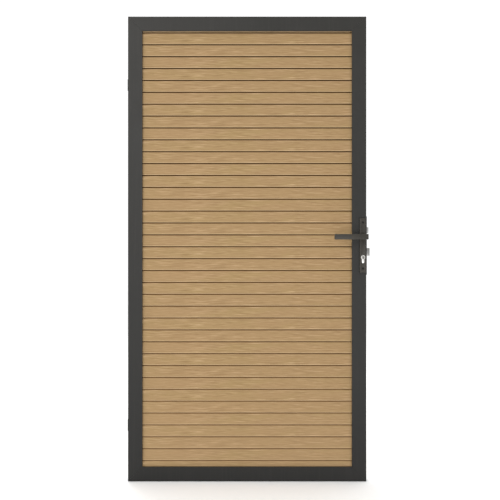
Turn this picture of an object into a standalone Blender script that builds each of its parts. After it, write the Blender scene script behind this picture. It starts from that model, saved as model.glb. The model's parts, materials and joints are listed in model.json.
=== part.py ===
"""Garden gate: a mitred aluminium frame round tongue-and-groove boards, with a lock and two hinges.

Metres, +Z up. X runs to the right along the leaf as seen from outside, and the outside faces -Y.
The origin is on the ground line, at the middle of the leaf's width and thickness.
The hinge side is -X and the lock side is +X.
"""

import math

import bmesh
import bpy
from mathutils import Matrix, Vector

# Leaf
LEAF_WIDTH = 1.000
LEAF_HEIGHT = 1.950
TOUCH_GAP = 0.0003          # left between pieces that touch
OVERRUN = 0.010             # how far a cutter runs past what it cuts
LAP = 0.002                 # how far a joined solid reaches into the other

# Frame profile
PROFILE_DEPTH = 0.040
PROFILE_WALL = 0.002
PROFILE_EDGE_RADIUS = 0.0015
CHANNEL_DEPTH = 0.024       # how deep the groove for the boards is
CASE_CLEARANCE = 0.0015     # behind the lock case, in the profile's chamber

# Boards
BOARD_THICKNESS = 0.020
BOARD_COVER = 0.150
RIBS_PER_BOARD = 3
GROOVE_OPENING = 0.005
GROOVE_DEPTH = 0.006
GROOVE_RISE = 0.003         # how far a groove climbs towards its floor, so that water runs out
LIP_CHAMFER = 0.0006
BOARD_WALL = 0.0035
TONGUE_HEIGHT = 0.008
TONGUE_CHAMFER = 0.001
BOARD_PLAY = 0.0005         # on each side of a board in its channel
BOARD_INSERT = 0.022        # length of board hidden in each stile
BOARD_EXPANSION = 0.003     # left free above the top board

# Corner cleats
CLEAT_LEG = 0.085
CLEAT_WEB = 0.007
CLEAT_CORE_RADIUS = 0.003

# Lock
LEVER_HEIGHT = 1.025        # lever axis above the bottom of the leaf
BACKSET = 0.015             # lever axis to the edge of the stile
LOCK_CENTRES = 0.085        # lever axis to cylinder axis
HANDLE_TURN = math.radians(40)
LATCH_THROW = 0.009
LATCH_TALL = 0.026
LATCH_THICK = 0.010
LATCH_ABOVE_ARM = 0.0008    # latch bolt above the follower's arm
LATCH_POCKET = 0.010        # depth of the spring's pocket in the bolt
LATCH_SHOULDER = 0.0006     # bolt's square part outside the faceplate
LATCH_TIP = 0.3             # share of the bolt's half thickness where its bevel ends
DEADBOLT_THROW = 0.013
DEADBOLT_TALL = 0.033
DEADBOLT_THICK = 0.009
DEADBOLT_LIFT = 0.006       # foot of the bolt above the cylinder axis
DEADBOLT_EDGE = 0.0008
FACEPLATE_THICK = 0.003
FACEPLATE_WIDE = 0.024
FACEPLATE_ABOVE = 0.037     # faceplate above the lock case
FACEPLATE_BELOW = 0.041
FACEPLATE_CORNER = 0.002
FACEPLATE_SCREW_INSET = 0.012
FACEPLATE_SCREW_LENGTH = 0.014
CASE_HALF = 0.007
CASE_WALL = 0.0012
CASE_MARGIN = 0.008         # case above the latch bolt and below the cylinder
CASE_SHELF = 0.002          # thickness of the shelf under the return spring
MOVING_GAP = 0.001          # round the lock's moving and loose pieces
SLOT_PLAY = 0.0005          # round the case and the cylinder in the stile
BOLT_PLAY = 0.0004          # round each bolt in the faceplate
ARM_TIP = 0.002
ARM_THICK = 0.005
LUG_THICK = 0.0025
HUB_RADIUS = 0.008
HUB_PROUD = 0.0008          # hub beyond the case on each side
SPRING_ARM = 0.012
SPRING_RADIUS = 0.0026
SPRING_WIRE = 0.0005
SPRING_TURNS = 6
RETURN_SPRING_RADIUS = 0.002
RETURN_SPRING_LENGTH = 0.025

# Profile cylinder (17 mm round, 33 mm tall, 10 mm wide below)
CYLINDER_ROUND = 0.0085
CYLINDER_TALL = 0.033
CYLINDER_WEB = 0.010
CYLINDER_PROUD = 0.0017
PLUG_PROUD = 0.0006
PLUG_RADIUS = 0.0062
CAM_RADIUS = 0.013
CAM_HUB = 0.0076
CAM_SLOT = 0.010
CAM_CLEARANCE = 0.0033
CAM_TIP = 0.003             # half width of the cam's tooth
CAM_HOLE = 0.003
BOLT_ABOVE_CAM = 0.0015
KEYWAY_WIDE = 0.0022
KEYWAY_TALL = 0.0085
KEYWAY_BELOW = 0.0051       # foot of the keyway below the axis
KEYWAY_DEEP = 0.020
FIXING_SCREW_DROP = 0.019
FIXING_SCREW_RADIUS = 0.0025
FIXING_SCREW_END = 0.004    # end of the screw behind the cylinder's middle
HEAD_SUNK = 0.0004          # a screw head below the face around it
SINK_LIP = 0.0002           # straight lip above a countersink
SOCKET_DEEP = 0.0022
SMALL_SOCKET = 0.0013       # hexagon sockets, centre to corner
PLATE_SOCKET = 0.0019
HINGE_SOCKET = 0.0028
GRUB_SOCKET = 0.001

# Backplates and levers
PLATE_WIDE = 0.028
PLATE_TALL = 0.229
PLATE_THICK = 0.008
PLATE_BEVEL = 0.0028
PLATE_DROP = 0.0353         # plate centre below the lever axis
PLATE_SCREW_SPACING = 0.193
PLATE_SCREW_RADIUS = 0.0025
PLATE_SCREW_HEAD = 0.005
BOSS_RADIUS = 0.0045
BOSS_END = 0.008            # end of a boss in front of the leaf's middle plane
LEVER_REACH = 0.125         # lever axis to the free end
LEVER_TAIL = 0.015          # lever axis to the short end
LEVER_TALL = 0.023
LEVER_BAR_THICK = 0.012
LEVER_STANDOFF = 0.0417     # backplate face to the back of the bar
LEVER_EDGE = 0.0025
NECK_RADIUS = 0.008
COLLAR_RADIUS = 0.0105
COLLAR_THICK = 0.006
SPINDLE = 0.008
SPINDLE_IN_LEVER = 0.030    # how far the spindle reaches into each lever
GRUB_RADIUS = 0.002
GRUB_OUT = 0.008            # grub screw beyond the collar
GRUB_SUNK = 0.0005

# Hinges
HINGE_INSET = 0.001         # axis inside the leaf's edge
HINGE_BEHIND = 0.0015       # barrel behind the leaf
HINGE_FROM_END = 0.250      # middle of each hinge from its own end of the leaf
HINGE_HEIGHTS = {"lower": HINGE_FROM_END, "upper": LEAF_HEIGHT - HINGE_FROM_END}
HINGE_TALL = 0.100
BARREL_RADIUS = 0.0085
PIN_RADIUS = 0.005
PIN_HEAD = 0.003
PIN_CHAMFER = 0.001
PIN_SHORT = 0.004           # pin below the top of the barrel
WASHER_THICK = 0.0015
STRAP_THICK = 0.006
STRAP_WIDE = 0.036
POST_GAP = 0.010            # leaf edge to the post's face
POST_PLATE_REACH = 0.082    # how far the post plate reaches behind the leaf's middle plane
HINGE_SCREW_RADIUS = 0.004
HINGE_SCREW_HEAD = 0.0075
HINGE_SCREW_LENGTH = 0.018
HINGE_SCREW_SPACING = 0.060
HINGE_SCREW_ACROSS = 0.7    # where the screws stand, as a share of the chamber
HINGE_CORNER = 0.006
BARREL_CLEARANCE = 0.0012

# Worked out from the sizes above
EDGE_X = LEAF_WIDTH / 2
HALF_DEPTH = PROFILE_DEPTH / 2
CASE_DEPTH = BACKSET + CAM_RADIUS + CAM_CLEARANCE + CASE_WALL
CHAMBER = CASE_DEPTH + CASE_CLEARANCE - PROFILE_WALL
PROFILE_FACE = 2 * PROFILE_WALL + CHAMBER + CHANNEL_DEPTH
CHANNEL_HALF = BOARD_THICKNESS / 2 + BOARD_PLAY
RIB_PITCH = BOARD_COVER / RIBS_PER_BOARD
GROOVE_HALF = GROOVE_OPENING / 2
TONGUE_HALF = BOARD_THICKNESS / 2 - GROOVE_DEPTH
STACK_BASE = PROFILE_FACE - CHANNEL_DEPTH + TOUCH_GAP - GROOVE_HALF
STACK_TOP = LEAF_HEIGHT - PROFILE_FACE + CHANNEL_DEPTH - BOARD_EXPANSION
BOARD_LENGTH = LEAF_WIDTH - 2 * PROFILE_FACE + 2 * BOARD_INSERT

LOCK_X = EDGE_X - BACKSET
CYLINDER_Z = LEVER_HEIGHT - LOCK_CENTRES
ARM_REACH = LATCH_THROW / (2 * math.sin(HANDLE_TURN / 2))
LATCH_Z = LEVER_HEIGHT + ARM_REACH + ARM_TIP + LATCH_ABOVE_ARM + LATCH_TALL / 2
DEADBOLT_BODY_BOTTOM = CYLINDER_Z + CAM_RADIUS + BOLT_ABOVE_CAM
DEADBOLT_TOP = CYLINDER_Z + DEADBOLT_LIFT + DEADBOLT_TALL
FACE_INNER = EDGE_X + TOUCH_GAP
FACE_OUTER = FACE_INNER + FACEPLATE_THICK
CASE_BACK = EDGE_X - CASE_DEPTH
CASE_INNER_BACK = CASE_BACK + CASE_WALL
CASE_TOP = LATCH_Z + LATCH_TALL / 2 + CASE_MARGIN
CASE_BOTTOM = CYLINDER_Z - (CYLINDER_TALL - CYLINDER_ROUND) - CASE_MARGIN
FACEPLATE_TOP = CASE_TOP + FACEPLATE_ABOVE
FACEPLATE_BOTTOM = CASE_BOTTOM - FACEPLATE_BELOW
PLATE_INNER = HALF_DEPTH + TOUCH_GAP
PLATE_OUTER = PLATE_INNER + PLATE_THICK
PLATE_Z = LEVER_HEIGHT - PLATE_DROP
CYLINDER_HALF = PLATE_OUTER + CYLINDER_PROUD
LEVER_BACK = PLATE_OUTER + LEVER_STANDOFF
LEVER_FRONT = LEVER_BACK + LEVER_BAR_THICK
SPINDLE_HALF = PLATE_OUTER + SPINDLE_IN_LEVER
HINGE_X = -EDGE_X + HINGE_INSET
HINGE_Y = HALF_DEPTH + BARREL_RADIUS + HINGE_BEHIND
POST_FACE_X = -EDGE_X - POST_GAP
HINGE_SCREW_X = -EDGE_X + PROFILE_WALL + HINGE_SCREW_ACROSS * CHAMBER


# Scene, collections and materials

def clear_scene():
    for obj in list(bpy.data.objects):
        bpy.data.objects.remove(obj, do_unlink=True)
    for collection in list(bpy.data.collections):
        bpy.data.collections.remove(collection)


def new_collection(name):
    collection = bpy.data.collections.new(name)
    bpy.context.scene.collection.children.link(collection)
    return collection


def material(name, colour, roughness, metallic):
    made = bpy.data.materials.new(name)
    made.use_nodes = True
    shader = made.node_tree.nodes["Principled BSDF"]
    shader.inputs["Base Color"].default_value = (*colour, 1.0)
    shader.inputs["Roughness"].default_value = roughness
    shader.inputs["Metallic"].default_value = metallic
    return made


clear_scene()
PARTS = new_collection("garden_gate")
CUTTERS = new_collection("cutters")

POWDER_COAT = material("anthracite_powder_coat", (0.047, 0.047, 0.045), 0.45, 0.0)
FITTING_COAT = material("dark_fitting_coat", (0.065, 0.064, 0.060), 0.38, 0.1)
BOARD = material("light_brown_board", (0.440, 0.292, 0.150), 0.62, 0.0)
NICKEL = material("satin_nickel", (0.72, 0.71, 0.69), 0.25, 1.0)
ZINC = material("zinc_plated_steel", (0.45, 0.46, 0.47), 0.38, 1.0)
STAINLESS = material("stainless_steel", (0.55, 0.55, 0.54), 0.28, 1.0)
CAST_ALUMINIUM = material("cast_aluminium", (0.60, 0.61, 0.62), 0.50, 1.0)
BRASS = material("brass", (0.60, 0.43, 0.18), 0.30, 1.0)
SPRING_STEEL = material("spring_steel", (0.32, 0.32, 0.34), 0.32, 1.0)


# Mesh tools

XZ_PLANE = Matrix.Rotation(math.radians(90), 4, "X")     # outline in x and z, extruded along y
YZ_PLANE = Matrix(((0, 0, 1, 0), (1, 0, 0, 0), (0, 1, 0, 0), (0, 0, 0, 1)))   # outline in y and z, along x
XY_PLANE = Matrix.Identity(4)
AXIS_TURN = {
    "X": Matrix.Rotation(math.radians(90), 4, "Y"),
    "Y": Matrix.Rotation(math.radians(-90), 4, "X"),
    "-Y": Matrix.Rotation(math.radians(90), 4, "X"),
    "Z": Matrix.Identity(4),
}


def add_object(name, data, look, place=None):
    obj = bpy.data.objects.new(name, data)
    if look is None:
        CUTTERS.objects.link(obj)
        obj.hide_render = True
        obj.display_type = "WIRE"
    else:
        PARTS.objects.link(obj)
        if not data.materials:
            data.materials.append(look)
    if place is not None:
        obj.matrix_world = place
    return obj


def mesh_from(name, shape):
    bmesh.ops.recalc_face_normals(shape, faces=shape.faces)
    mesh = bpy.data.meshes.new(name)
    shape.to_mesh(mesh)
    shape.free()
    return mesh


def smooth_round(mesh):
    mesh.shade_smooth()
    mesh.set_sharp_from_angle(angle=math.radians(35))


def block(name, look, x, y, z, edges=None, radius=0.0, segments=2):
    """A box between pairs of coordinates. `edges` picks edges to round, by their middle from the centre."""
    size = Vector((x[1] - x[0], y[1] - y[0], z[1] - z[0]))
    centre = Vector((x[0] + x[1], y[0] + y[1], z[0] + z[1])) / 2
    shape = bmesh.new()
    bmesh.ops.create_cube(shape, size=1.0)
    bmesh.ops.scale(shape, vec=size, verts=shape.verts)
    if edges:
        chosen = [e for e in shape.edges if edges((e.verts[0].co + e.verts[1].co) / 2)]
        bmesh.ops.bevel(shape, geom=chosen, offset=radius, segments=segments, profile=0.5, affect="EDGES")
    mesh = mesh_from(name, shape)
    return add_object(name, mesh, look, Matrix.Translation(centre))


def rod(name, look, axis, centre, radius, start, end, segments=24):
    """A cylinder along "X", "Y" or "Z", from start to end. `centre` holds the two other coordinates.

    It stands turned by half a facet, so that flats and not corners face along the other two axes.
    """
    shape = bmesh.new()
    bmesh.ops.create_cone(
        shape, cap_ends=True, segments=segments, radius1=radius, radius2=radius, depth=end - start
    )
    bmesh.ops.rotate(shape, verts=shape.verts, matrix=Matrix.Rotation(math.pi / segments, 3, "Z"))
    mesh = mesh_from(name, shape)
    smooth_round(mesh)
    place = list(centre)
    place.insert("XYZ".index(axis), (start + end) / 2)
    return add_object(name, mesh, look, Matrix.Translation(place) @ AXIS_TURN[axis])


def outline_curve(name, loops, plane, start, end, look, origin=(0.0, 0.0, 0.0)):
    """Closed outlines, the first round the others, filled and extruded from start to end."""
    curve = bpy.data.curves.new(name, "CURVE")
    curve.dimensions = "2D"
    curve.fill_mode = "BOTH"
    curve.extrude = (end - start) / 2
    for loop in loops:
        spline = curve.splines.new("POLY")
        spline.points.add(len(loop) - 1)
        for point, (a, b) in zip(spline.points, loop):
            point.co = (a, b, 0.0, 1.0)
        spline.use_cyclic_u = True
    across = plane.to_3x3() @ Vector((0.0, 0.0, 1.0))
    middle = (start + end) / 2 * (1 if sum(across) > 0 else -1)
    place = Matrix.Translation(origin) @ plane @ Matrix.Translation((0.0, 0.0, middle))
    return add_object(name, curve, look, place)


def outline_solid(name, loops, plane, start, end, look, origin=(0.0, 0.0, 0.0)):
    """The same as a mesh with its caps welded on, for a piece that is cut, joined or used as a cutter."""
    guide = outline_curve(name + "_outline", loops, plane, start, end, None, origin)
    bpy.context.view_layer.update()
    graph = bpy.context.evaluated_depsgraph_get()
    mesh = bpy.data.meshes.new_from_object(guide.evaluated_get(graph))
    mesh.name = name
    shape = bmesh.new()
    shape.from_mesh(mesh)
    bmesh.ops.remove_doubles(shape, verts=shape.verts, dist=1e-6)
    bmesh.ops.recalc_face_normals(shape, faces=shape.faces)
    shape.to_mesh(mesh)
    shape.free()
    mesh.materials.clear()
    place = guide.matrix_world.copy()
    bpy.data.objects.remove(guide)
    return add_object(name, mesh, look, place)


def turned(name, look, profile, axis, tip, segments=20):
    """A turned solid: `profile` runs (radius, distance along the axis), from the far end back."""
    mesh = bpy.data.meshes.new(name)
    verts = [(radius, 0.0, along) for radius, along in profile]
    mesh.from_pydata(verts, [(i, i + 1) for i in range(len(verts) - 1)], [])
    obj = add_object(name, mesh, look, Matrix.Translation(tip) @ AXIS_TURN[axis])
    screw = obj.modifiers.new("turn", "SCREW")
    screw.axis = "Z"
    screw.steps = segments
    screw.render_steps = segments
    screw.use_merge_vertices = True
    screw.merge_threshold = 0.00001
    screw.use_smooth_shade = False
    return obj


def boolean(obj, other, operation):
    modifier = obj.modifiers.new(operation.lower() + "_" + other.name, "BOOLEAN")
    modifier.operation = operation
    modifier.object = other
    modifier.solver = "EXACT"


def cut(obj, *cutters):
    for cutter in cutters:
        boolean(obj, cutter, "DIFFERENCE")
    return obj


def join(obj, *others):
    for other in others:
        boolean(obj, other, "UNION")
    return obj


def hang_on(axis_name, place, pieces):
    """Parents the pieces to an empty on their joint's axis, where they stay in place."""
    empty = bpy.data.objects.new(axis_name, None)
    PARTS.objects.link(empty)
    empty.empty_display_size = 0.05
    empty.matrix_world = Matrix.Translation(place)
    for piece in pieces:
        if piece.parent is None:
            piece.parent = empty
            piece.matrix_parent_inverse = Matrix.Translation(place).inverted()
    return empty


# Outlines

def arc(centre, radius, start, end, steps):
    """Points along an arc, with the angles in degrees."""
    points = []
    for i in range(steps + 1):
        angle = math.radians(start + (end - start) * i / steps)
        points.append((centre[0] + radius * math.cos(angle), centre[1] + radius * math.sin(angle)))
    return points


def rectangle(low, high, radius=0.0, steps=2):
    corners = [
        ((high[0] - radius, high[1] - radius), 0),
        ((low[0] + radius, high[1] - radius), 90),
        ((low[0] + radius, low[1] + radius), 180),
        ((high[0] - radius, low[1] + radius), 270),
    ]
    if radius == 0.0:
        return [corner for corner, _ in corners]
    return [point for corner, start in corners for point in arc(corner, radius, start, start + 90, steps)]


def capsule(start, end, radius, steps=6):
    """A bar with round ends between two points."""
    lean = math.degrees(math.atan2(end[1] - start[1], end[0] - start[0]))
    return arc(end, radius, lean - 90, lean + 90, steps) + arc(start, radius, lean + 90, lean + 270, steps)


def profile_loops():
    """The frame profile with its channel and chambers, u from its outer edge inwards, v across its depth."""
    outer = [
        (PROFILE_FACE, -HALF_DEPTH),
        (PROFILE_FACE, -CHANNEL_HALF),
        (PROFILE_FACE - CHANNEL_DEPTH, -CHANNEL_HALF),
        (PROFILE_FACE - CHANNEL_DEPTH, CHANNEL_HALF),
        (PROFILE_FACE, CHANNEL_HALF),
        (PROFILE_FACE, HALF_DEPTH),
    ]
    corner = PROFILE_EDGE_RADIUS
    outer += arc((corner, HALF_DEPTH - corner), corner, 90, 180, 3)
    outer += arc((corner, -HALF_DEPTH + corner), corner, 180, 270, 3)
    wall = PROFILE_WALL
    chamber = rectangle((wall, wall - HALF_DEPTH), (wall + CHAMBER, HALF_DEPTH - wall))
    lip_start = PROFILE_FACE - CHANNEL_DEPTH
    near = CHANNEL_HALF + wall
    far = HALF_DEPTH - wall
    pocket_front = rectangle((lip_start, -far), (PROFILE_FACE - wall, -near))
    pocket_back = rectangle((lip_start, near), (PROFILE_FACE - wall, far))
    return [outer, chamber, pocket_front, pocket_back]


def slope_at(depth):
    """How far a groove's wall has climbed at this distance from the centre plane."""
    return GROOVE_RISE * (BOARD_THICKNESS / 2 - depth) / GROOVE_DEPTH


def board_side(ribs, ripped_at):
    """One face of a board, from its bottom edge up: (distance from the centre plane, height)."""
    face = BOARD_THICKNESS / 2
    slot = TONGUE_HALF + BOARD_PLAY
    chamfer = LIP_CHAMFER
    points = [(slot, TONGUE_HEIGHT + TOUCH_GAP), (slot, GROOVE_HALF + slope_at(slot))]
    for rib in range(ribs):
        low = rib * RIB_PITCH + GROOVE_HALF
        high = (rib + 1) * RIB_PITCH - GROOVE_HALF
        if rib:
            points.append((TONGUE_HALF, low + GROOVE_RISE))
        points += [(face - chamfer, low + slope_at(face - chamfer)), (face, low + chamfer)]
        if ripped_at is not None and rib == ribs - 1:
            points.append((face, ripped_at))
            return points
        points += [(face, high - chamfer), (face - chamfer, high + slope_at(face - chamfer))]
        if rib < ribs - 1:
            points.append((TONGUE_HALF, high + GROOVE_RISE))
    cover = ribs * RIB_PITCH
    points += [
        (TONGUE_HALF, cover - GROOVE_HALF + GROOVE_RISE),
        (TONGUE_HALF, cover + TONGUE_HEIGHT - TONGUE_CHAMFER),
        (TONGUE_HALF - TONGUE_CHAMFER, cover + TONGUE_HEIGHT),
    ]
    return points


def board_loops(ribs, ripped_at=None):
    side = board_side(ribs, ripped_at)
    half = BOARD_THICKNESS / 2 - BOARD_WALL
    chambers = []
    for rib in range(ribs):
        low = rib * RIB_PITCH + TONGUE_HEIGHT + TOUCH_GAP + BOARD_WALL
        high = (rib + 1) * RIB_PITCH - GROOVE_HALF - BOARD_WALL
        if ripped_at is not None:
            high = min(high, ripped_at - BOARD_WALL)
        if high - low > BOARD_WALL:
            chambers.append(rectangle((-half, low), (half, high)))
    return [[(-y, z) for y, z in side] + side[::-1]] + chambers


def euro_outline(clearance=0.0):
    """The profile cylinder's section about its axis: a round with a narrower, round-ended web below."""
    radius = CYLINDER_ROUND + clearance
    half = CYLINDER_WEB / 2 + clearance
    bottom = CYLINDER_ROUND - CYLINDER_TALL + CYLINDER_WEB / 2
    meet = math.degrees(math.acos(half / radius))
    return arc((0.0, 0.0), radius, -meet, 180 + meet, 16) + arc((0.0, bottom), half, 180, 360, 6)


# Frame

def mitred_profile(name, length, centre, turn):
    """A profile along local z, mitred at both ends, its outer edge at u = 0. `turn` stands it in place."""
    piece = outline_solid(name, profile_loops(), XY_PLANE, -length / 2, length / 2, POWDER_COAT)
    cut_back = TOUCH_GAP / 2 * math.sqrt(2)
    for vertex in piece.data.vertices:
        end = 1 if vertex.co.z > 0 else -1
        vertex.co.z -= end * (vertex.co.x + cut_back)
    piece.matrix_world = Matrix.Translation(centre) @ turn
    return piece


def make_frame():
    quarter = math.radians(90)
    middle = LEAF_HEIGHT / 2
    stile = Matrix.Identity(4)
    hinge_stile = mitred_profile("hinge_stile", LEAF_HEIGHT, (-EDGE_X, 0.0, middle), stile)
    across = Matrix.Rotation(math.radians(180), 4, "Z")
    lock_stile = mitred_profile("lock_stile", LEAF_HEIGHT, (EDGE_X, 0.0, middle), across)
    up = Matrix.Rotation(-quarter, 4, "Y")
    bottom = mitred_profile("bottom_rail", LEAF_WIDTH, (0.0, 0.0, 0.0), up)
    down = Matrix.Rotation(quarter, 4, "Y")
    top = mitred_profile("top_rail", LEAF_WIDTH, (0.0, 0.0, LEAF_HEIGHT), down)
    return hinge_stile, lock_stile, top, bottom


def make_cleats():
    """Angle blocks that slide into the chambers of two profiles at each corner."""
    outer = PROFILE_WALL + TOUCH_GAP
    thick = CHAMBER - 2 * TOUCH_GAP
    half = HALF_DEPTH - PROFILE_WALL - TOUCH_GAP
    cleats = []
    for low_or_top, sign_z in (("bottom", 1), ("top", -1)):
        for side, sign_x in (("left", 1), ("right", -1)):
            corner_x = -sign_x * EDGE_X
            corner_z = 0.0 if sign_z > 0 else LEAF_HEIGHT

            def at(points, sx=sign_x, sz=sign_z, cx=corner_x, cz=corner_z):
                return [(cx + sx * a, cz + sz * b) for a, b in points]

            leg = outer + CLEAT_LEG
            inner = outer + thick
            angle = [(outer, outer), (leg, outer), (leg, inner), (inner, inner), (inner, leg), (outer, leg)]
            hole_low = outer + CLEAT_WEB
            hole_high = inner - CLEAT_WEB
            along = rectangle((inner, hole_low), (leg - CLEAT_WEB, hole_high), CLEAT_CORE_RADIUS)
            upright = rectangle((hole_low, inner), (hole_high, leg - CLEAT_WEB), CLEAT_CORE_RADIUS)
            name = f"corner_cleat_{low_or_top}_{side}"
            loops = [at(angle), at(along), at(upright)]
            cleats.append(outline_curve(name, loops, XZ_PLANE, -half, half, CAST_ALUMINIUM))
    return cleats


def make_boards():
    boards = []
    base = STACK_BASE
    half = BOARD_LENGTH / 2
    full_curve = None
    while base + TONGUE_HEIGHT + TOUCH_GAP + BOARD_WALL < STACK_TOP:
        name = f"board_{len(boards) + 1:02d}"
        place = (0.0, 0.0, base)
        if base + BOARD_COVER + TONGUE_HEIGHT <= STACK_TOP:
            if full_curve is None:
                loops = board_loops(RIBS_PER_BOARD)
                board = outline_curve(name, loops, YZ_PLANE, -half, half, BOARD, place)
                full_curve = board.data
            else:
                board = add_object(name, full_curve, BOARD, Matrix.Translation(place) @ YZ_PLANE)
        else:
            left = STACK_TOP - base
            ribs = 1 + max(0, math.floor((left - GROOVE_HALF - BOARD_WALL) / RIB_PITCH))
            loops = board_loops(min(ribs, RIBS_PER_BOARD), left)
            board = outline_curve(name, loops, YZ_PLANE, -half, half, BOARD, place)
        boards.append(board)
        base += BOARD_COVER
    return boards


# Lock

def lock_holes(name, neck_radius, clearance, reach=0.2):
    """Cutters along y for whatever the spindle and the cylinder pass through."""
    spindle_hole = rod(
        name + "_spindle_hole", None, "Y", (LOCK_X, LEVER_HEIGHT), neck_radius, -reach, reach, 24
    )
    euro_hole = outline_solid(
        name + "_cylinder_hole", [euro_outline(clearance)], XZ_PLANE, -reach, reach, None,
        (LOCK_X, 0.0, CYLINDER_Z),
    )
    return spindle_hole, euro_hole


def plate_screw_heights():
    return {"upper": PLATE_Z + PLATE_SCREW_SPACING / 2, "lower": PLATE_Z - PLATE_SCREW_SPACING / 2}


def faceplate_screw_heights():
    return {
        "upper": FACEPLATE_TOP - FACEPLATE_SCREW_INSET,
        "lower": FACEPLATE_BOTTOM + FACEPLATE_SCREW_INSET,
    }


def cut_lock_stile(stile):
    half = CASE_HALF + SLOT_PLAY
    slot = block(
        "lock_slot", None,
        (EDGE_X - PROFILE_WALL - MOVING_GAP, EDGE_X + OVERRUN), (-half, half),
        (CASE_BOTTOM - MOVING_GAP, CASE_TOP + MOVING_GAP),
    )
    cut(stile, slot, *lock_holes("stile", HUB_RADIUS + MOVING_GAP, SLOT_PLAY))
    for where, height in plate_screw_heights().items():
        narrow = rod(
            f"stile_screw_hole_{where}", None, "Y", (LOCK_X, height),
            PLATE_SCREW_RADIUS + 2 * TOUCH_GAP, -HALF_DEPTH - OVERRUN, 0.0, 16,
        )
        wide = rod(
            f"stile_boss_hole_{where}", None, "Y", (LOCK_X, height),
            BOSS_RADIUS + TOUCH_GAP, 0.0, HALF_DEPTH + OVERRUN, 16,
        )
        cut(stile, narrow, wide)
    for where, height in faceplate_screw_heights().items():
        hole = rod(
            f"stile_face_hole_{where}", None, "X", (0.0, height),
            FIXING_SCREW_RADIUS + TOUCH_GAP, EDGE_X - PROFILE_WALL - LAP, EDGE_X + OVERRUN, 16,
        )
        cut(stile, hole)


def make_lock_case():
    inner = CASE_HALF - CASE_WALL
    case = block(
        "lock_case", ZINC,
        (CASE_BACK, EDGE_X), (-CASE_HALF, inner - TOUCH_GAP), (CASE_BOTTOM, CASE_TOP),
    )
    shelf_top = LEVER_HEIGHT - ARM_TIP - 2 * TOUCH_GAP - RETURN_SPRING_LENGTH
    shelf_depth = LOCK_X - SPRING_ARM + SPRING_RADIUS + MOVING_GAP
    upper = block(
        "case_room_upper", None,
        (CASE_INNER_BACK, EDGE_X + OVERRUN), (-inner, CASE_HALF + OVERRUN),
        (shelf_top, CASE_TOP - CASE_WALL),
    )
    lower = block(
        "case_room_lower", None,
        (CASE_INNER_BACK, EDGE_X + OVERRUN), (-inner, CASE_HALF + OVERRUN),
        (CASE_BOTTOM + CASE_WALL, shelf_top - CASE_SHELF),
    )
    beside = block(
        "case_room_beside_shelf", None,
        (shelf_depth, EDGE_X + OVERRUN), (-inner, CASE_HALF + OVERRUN),
        (shelf_top - CASE_SHELF - MOVING_GAP, shelf_top + MOVING_GAP),
    )
    holes = lock_holes("case", HUB_RADIUS + TOUCH_GAP, TOUCH_GAP)
    cut(case, upper, lower, beside, *holes)
    cover = block(
        "lock_case_cover", ZINC,
        (CASE_BACK, EDGE_X), (inner, CASE_HALF), (CASE_BOTTOM, CASE_TOP),
    )
    cut(cover, *holes)
    return case, cover


def make_faceplate():
    half = FACEPLATE_WIDE / 2
    outline = rectangle((-half, FACEPLATE_BOTTOM), (half, FACEPLATE_TOP), FACEPLATE_CORNER)

    def bolt_window(low, high, thick):
        play = BOLT_PLAY
        return rectangle((-thick / 2 - play, low - play), (thick / 2 + play, high + play))

    latch_window = bolt_window(LATCH_Z - LATCH_TALL / 2, LATCH_Z + LATCH_TALL / 2, LATCH_THICK)
    deadbolt_window = bolt_window(DEADBOLT_TOP - DEADBOLT_TALL, DEADBOLT_TOP, DEADBOLT_THICK)
    heights = [*faceplate_screw_heights().values(), CYLINDER_Z - FIXING_SCREW_DROP]
    plate = outline_solid(
        "lock_faceplate", [outline, latch_window, deadbolt_window], YZ_PLANE, FACE_INNER, FACE_OUTER,
        FITTING_COAT,
    )
    for number, height in enumerate(heights):
        face = (FACE_OUTER, 0.0, height)
        cut(plate, countersink(f"faceplate_sink_{number}", "X", face, FIXING_SCREW_RADIUS))
    return plate


def countersink(name, axis, face, radius, head=None):
    """A cutter for a countersunk screw whose head is flush with the face; the screw leaves along -axis."""
    head = head or 2 * radius
    gap = TOUCH_GAP
    profile = [
        (0.0, OVERRUN), (head + gap, OVERRUN), (head + gap, -SINK_LIP),
        (radius + gap, -SINK_LIP - (head - radius)), (radius + gap, -5 * OVERRUN), (0.0, -5 * OVERRUN),
    ]
    return turned(name, None, profile, axis, face)


def countersunk_screw(name, look, axis, face, radius, length, head=None, socket=SMALL_SOCKET):
    """A countersunk screw with a hexagon socket. Its head lies flush, and it points along -axis."""
    head = head or 2 * radius
    profile = [
        (0.0, -HEAD_SUNK), (head, -HEAD_SUNK), (radius, -HEAD_SUNK - (head - radius)),
        (radius, -length), (0.0, -length),
    ]
    screw = turned(name, look, profile, axis, face)
    recess = rod(name + "_socket", None, "Z", (0.0, 0.0), socket, -SOCKET_DEEP, OVERRUN, 6)
    recess.matrix_world = Matrix.Translation(face) @ AXIS_TURN[axis] @ recess.matrix_world
    return cut(screw, recess)


def make_faceplate_screws():
    screws = []
    for where, height in faceplate_screw_heights().items():
        screws.append(countersunk_screw(
            f"faceplate_screw_{where}", ZINC, "X", (FACE_OUTER, 0.0, height),
            FIXING_SCREW_RADIUS, FACEPLATE_SCREW_LENGTH,
        ))
    fixing = countersunk_screw(
        "cylinder_fixing_screw", ZINC, "X", (FACE_OUTER, 0.0, CYLINDER_Z - FIXING_SCREW_DROP),
        FIXING_SCREW_RADIUS, FACE_OUTER - LOCK_X + FIXING_SCREW_END,
    )
    return screws + [fixing]


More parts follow.
